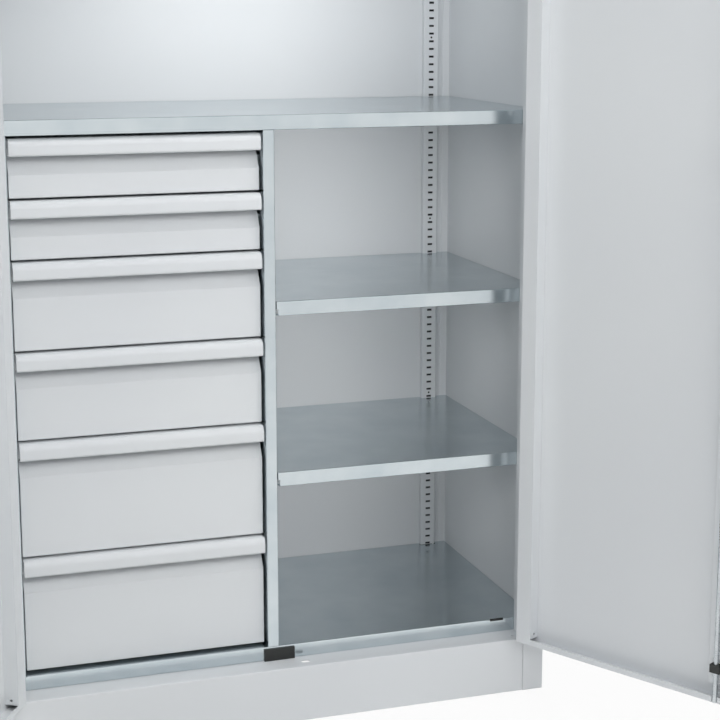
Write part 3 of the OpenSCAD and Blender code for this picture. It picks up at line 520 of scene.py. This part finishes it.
# Painted shade: the black piece stands where the slot shows only the shaded hollow of the shelf
slot_shade = bar(np.stack([shade_y, shade_z], axis=-1), SHADE_PIECE_X0, SHADE_PIECE_X1)
trim("floor_slot_painted_shade", slot_shade, "black_plastic", "cabinet", False)

# Rod lock: screws of the bearing plate, rivets of the guides, collar round the cylinder

HANDLE_Z = 1.02
CYLINDER_Z = 1.066
CHANNEL_Y = FRONT_Y + 0.0165
PLATE_T = 0.002
PLATE_SCREW_Z = 0.0255
GUIDE_HALF_H = 0.007
INNER_GUIDE_Z = 0.15
GUIDE_RIVET_X = 0.0128
ESCUTCHEON_Y = FRONT_Y - 0.008
COLLAR_PROFILE = [
    (0.0083, 0), (0.0108, 0), (0.0108, 0.0008), (0.0102, 0.0014), (0.0092, 0.0016),
    (0.0083, 0.0012), (0.0083, 0),
]
screw_zs = (HANDLE_Z - PLATE_SCREW_Z, HANDLE_Z + PLATE_SCREW_Z)
screw_places = [(ROD_X, CHANNEL_Y + PLATE_T, z) for z in screw_zs]
plate_screws = turned(screw_places, (1, 0, 0), (0, 1, 0), pan_head(0.0035, 0.002, 0.0017))
trim("lock_plate_screws", opened(plate_screws), "bright_zinc", "right_door")
guide_low, guide_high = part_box("rod_guides")
guide_zs = (
    guide_low[2] + GUIDE_HALF_H,
    HANDLE_Z - INNER_GUIDE_Z,
    HANDLE_Z + INNER_GUIDE_Z,
    guide_high[2] - GUIDE_HALF_H,
)
rivet_xs = (ROD_X - GUIDE_RIVET_X, ROD_X + GUIDE_RIVET_X)
rivet_places = [(x, CHANNEL_Y, z) for z in guide_zs for x in rivet_xs]
guide_rivets = turned(rivet_places, (1, 0, 0), (0, 1, 0), dome(0.003, 0.0012))
trim("rod_guide_rivets", opened(guide_rivets), "bright_zinc", "right_door")
collar = turned([(ROD_X, ESCUTCHEON_Y, CYLINDER_Z)], (1, 0, 0), (0, -1, 0), COLLAR_PROFILE, 48)
trim("cylinder_collar", opened(collar), "chrome", "right_door")

# Floor, world and lamps


FLOOR_HALF = 9.0
FLOOR_DROP = 0.0005
side = np.linspace(-FLOOR_HALF, FLOOR_HALF, 3)
floor_x, floor_y = np.meshgrid(side, side, indexing="xy")
floor_points = np.stack([floor_x, floor_y, np.full_like(floor_x, -FLOOR_DROP)], axis=-1)[None]
floor = grid_object("studio_floor", floor_points, studio_floor(), False)


def build_world(strength):
    """An even pale room for the light, and plain white to the camera and in reflections."""
    world = bpy.data.worlds.new("studio_room")
    scene.world = world
    world.use_nodes = True
    tree = world.node_tree
    tree.nodes.clear()
    room = add(tree, "ShaderNodeBackground", Color=linear(ROOM), Strength=strength)
    backdrop = add(tree, "ShaderNodeBackground", Color=(1, 1, 1, 1), Strength=1.0)
    mixed = add(
        tree,
        "ShaderNodeMixShader",
        {0: seen_plainly(tree), 1: room.outputs[0], 2: backdrop.outputs[0]},
    )
    add(tree, "ShaderNodeOutputWorld", {"Surface": mixed.outputs[0]})


def area_lamp(name, place, target, size, power, in_mirrors):
    """A white soft box at a place, turned to a target. The camera never sees it, and metal
    mirrors it only where in_mirrors says so."""
    lamp = bpy.data.lights.new(name, "AREA")
    lamp.shape = "RECTANGLE"
    lamp.size, lamp.size_y = size
    lamp.energy = power
    made = bpy.data.objects.new(name, lamp)
    scene.collection.objects.link(made)
    made.location = place
    ahead = np.array(target) - np.array(place)
    tilt = math.atan2(math.hypot(ahead[0], ahead[1]), -ahead[2])
    made.rotation_euler = (tilt, 0, math.atan2(-ahead[0], ahead[1]))
    made.visible_camera = False
    made.visible_glossy = in_mirrors
    return made


WORLD_STRENGTH = 0.12
build_world(WORLD_STRENGTH)

# Soft boxes: name, place, target, size, power in watts, and whether metal mirrors them. The
# mirror images of the near ones would burn out on the zinc-plated bends.
LAMPS = (
    ("left_front_box", (-4.5, -3.2, 2.0), (0.1, -0.1, 0.7), (2.5, 2.5), 30, True),
    ("right_front_box", (1.3, -2.4, 2.0), (0.0, 0.0, 0.9), (1.8, 1.8), 27, False),
    ("front_box", (-0.5, -3.6, 2.7), (0.1, 0.0, 0.7), (1.6, 1.0), 14, False),
    ("overhead_box", (0.0, -1.1, 3.4), (0.0, -0.5, 0.5), (2.0, 0.9), 22, False),
    ("near_box", (-0.35, -1.9, 1.5), (0.35, 0.2, 0.9), (0.7, 0.7), 6, False),
    ("back_box", (0.8, 4.5, 2.6), (0.0, 0.25, 1.0), (2.6, 2.6), 140, True),
    ("left_back_box", (-4.4, 2.0, 2.2), (-0.5, 0.0, 1.0), (2.4, 2.4), 80, True),
    ("right_box", (4.6, 0.8, 2.2), (0.5, 0.0, 1.0), (2.4, 2.4), 60, True),
)
for settings in LAMPS:
    area_lamp(*settings)

# Strips under the front edge above each space, as narrow beams that are aimed low at the back:
# middle x, top z, width and power
FILL_Y = -0.17
FILL_AIM_Y = 0.25
FILL_AIM_DROP = 0.21
FILL_DEPTH = 0.06
FILL_SPREAD = math.radians(130)
FILLS = (
    (0.0, 1.88, 0.6, 0.55),
    (0.0, 1.64, 0.6, 0.6),
    (0.06, 1.4, 0.56, 0.92),
    (0.18, 0.99, 0.26, 0.46),
    (0.18, 0.68, 0.26, 0.39),
    (0.17, 0.38, 0.26, 0.31),
)
for number, (middle, top, width, power) in enumerate(FILLS, 1):
    aim = (middle, FILL_AIM_Y, top - FILL_AIM_DROP)
    strip = (width, FILL_DEPTH)
    fill = area_lamp(f"fill_{number}", (middle, FILL_Y, top), aim, strip, power, False)
    fill.data.spread = FILL_SPREAD


# Camera at the photograph's viewing angle, fitted to measured points of it by least squares: in
# metres, degrees and pixels

PHOTO_PX = 720
FOCAL_PX = 1658.2
CAMERA_PLACE = (-0.7191, -2.8723, 1.2364)
CAMERA_YAW = 18.283
CAMERA_PITCH = 10.471
PRINCIPAL_PX = (360.0, 310.0)
SENSOR_MM = 36.0

camera_data = bpy.data.cameras.new("photo_camera")
camera_data.sensor_width = SENSOR_MM
camera_data.lens = FOCAL_PX / PHOTO_PX * SENSOR_MM
camera_data.shift_x = (PHOTO_PX / 2 - PRINCIPAL_PX[0]) / PHOTO_PX
camera_data.shift_y = (PRINCIPAL_PX[1] - PHOTO_PX / 2) / PHOTO_PX
camera = bpy.data.objects.new("photo_camera", camera_data)
camera.location = CAMERA_PLACE
camera.rotation_euler = (math.radians(90 - CAMERA_PITCH), 0, math.radians(-CAMERA_YAW))
scene.collection.objects.link(camera)
scene.camera = camera

scene.view_settings.view_transform = "Standard"
